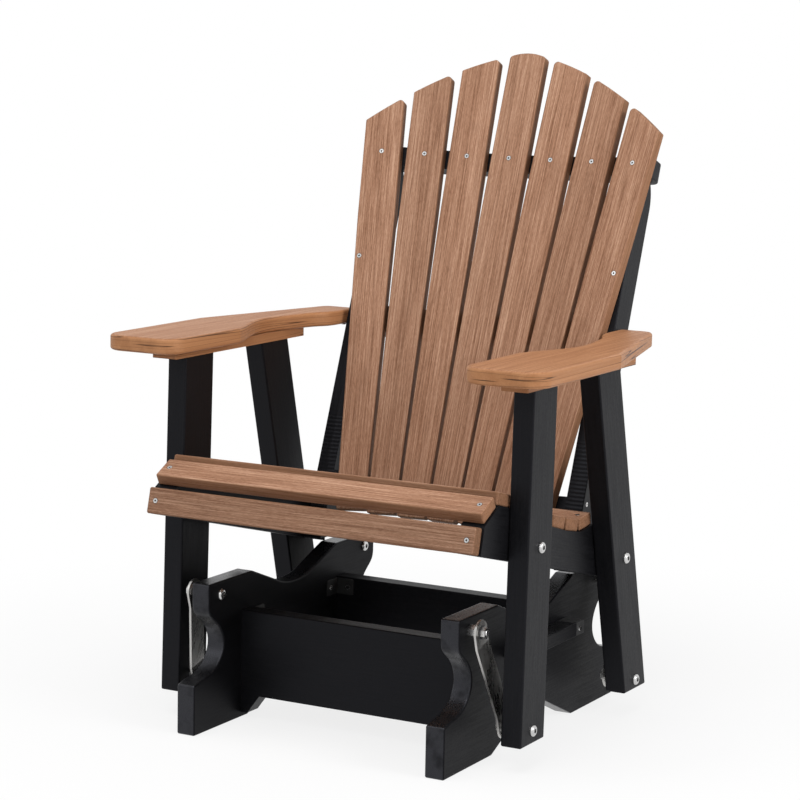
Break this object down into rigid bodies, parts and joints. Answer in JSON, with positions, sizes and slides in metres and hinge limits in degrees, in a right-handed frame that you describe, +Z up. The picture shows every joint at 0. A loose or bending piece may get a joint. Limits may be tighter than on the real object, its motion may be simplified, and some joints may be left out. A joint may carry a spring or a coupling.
{
  "type": "adirondack glider chair",
  "caption": "Garden armchair with a fanned slat back and scooped slat seat, hung on swinging steel links from a low two-board base so that it glides back and forth.",
  "frame": {"origin": "on the floor, under the centre of the whole chair's bounding box", "axes": "+Z up, the seat faces -Y, +X is to the right of someone who looks at the chair's front"},
  "size_m": [0.8462, 0.8213, 1.1789],
  "materials": {
    "tan_board": "brushed wood-look board, brown",
    "tan_arm": "smooth wood-look board, orange brown",
    "black_board": "satin black board",
    "link_steel": "satin",
    "fastener_steel": "stainless",
    "bush_plastic": "black",
    "stop_rubber": "matt black",
    "bracket_paint": "black paint"
  },
  "bodies": {
    "base": {"base_screws": "fastener_steel", "base_side_left": "black_board", "base_side_right": "black_board", "base_stretcher_front": "black_board", "base_stretcher_rear": "black_board", "corner_brackets": "bracket_paint", "stop_block_left": "black_board", "stop_block_right": "black_board", "stop_bumpers": "stop_rubber", "stop_screws": "fastener_steel", "upper_pivot_bolts": "fastener_steel", "upper_pivot_nuts": "fastener_steel", "upper_pivot_spacers": "fastener_steel"},
    "front_links": {"front_link_bushes": "bush_plastic", "front_link_left": "link_steel", "front_link_right": "link_steel"},
    "chair": {"arm_batten_left": "tan_arm", "arm_batten_right": "tan_arm", "arm_brackets": "bracket_paint", "arm_left": "tan_arm", "arm_right": "tan_arm", "arm_screws": "fastener_steel", "back_rail_bottom": "black_board", "back_rail_lower": "black_board", "back_rail_upper": "black_board", "back_slat_1": "tan_board", "back_slat_2": "tan_board", "back_slat_3": "tan_board", "back_slat_4": "tan_board", "back_slat_5": "tan_board", "back_slat_6": "tan_board", "back_slat_7": "tan_board", "back_upright_left": "black_board", "back_upright_right": "black_board", "board_screws": "fastener_steel", "bracket_screws": "fastener_steel", "chair_nuts": "fastener_steel", "front_apron": "tan_board", "front_leg_bolts": "fastener_steel", "front_leg_left": "black_board", "front_leg_right": "black_board", "lower_pivot_bolts": "fastener_steel", "lower_pivot_spacers": "fastener_steel", "rear_leg_bolts": "fastener_steel", "rear_leg_left": "black_board", "rear_leg_right": "black_board", "seat_rail_left": "black_board", "seat_rail_right": "black_board", "seat_slat_1": "tan_board", "seat_slat_2": "tan_board", "seat_slat_3": "tan_board", "seat_slat_4": "tan_board", "seat_slat_5": "tan_board", "seat_slat_6": "tan_board", "seat_slat_7": "tan_board", "seat_slat_8": "tan_board", "upright_screws": "fastener_steel"},
    "rear_links": {"rear_link_bushes": "bush_plastic", "rear_link_left": "link_steel", "rear_link_right": "link_steel"}
  },
  "joints": [
    {"name": "front_link_swing", "type": "hinge", "parent": "base", "child": "front_links", "pos_m": [0, -0.3095, 0.237], "axis": [1, 0, 0], "range_deg": [-8, 9]},
    {"name": "chair_tilt", "type": "hinge", "parent": "front_links", "child": "chair", "pos_m": [0, -0.25859, 0.06853], "axis": [1, 0, 0], "range_deg": [-10.7, 9.5]},
    {"name": "rear_link_swing", "type": "hinge", "parent": "base", "child": "rear_links", "pos_m": [0, 0.1955, 0.237], "axis": [1, 0, 0], "range_deg": [-7.7, 8.7]}
  ],
  "couplings": [
    {"joint": "chair_tilt", "follows": "front_link_swing", "ratio": -1.1874},
    {"joint": "rear_link_swing", "follows": "front_link_swing", "ratio": 0.9611}
  ]
}
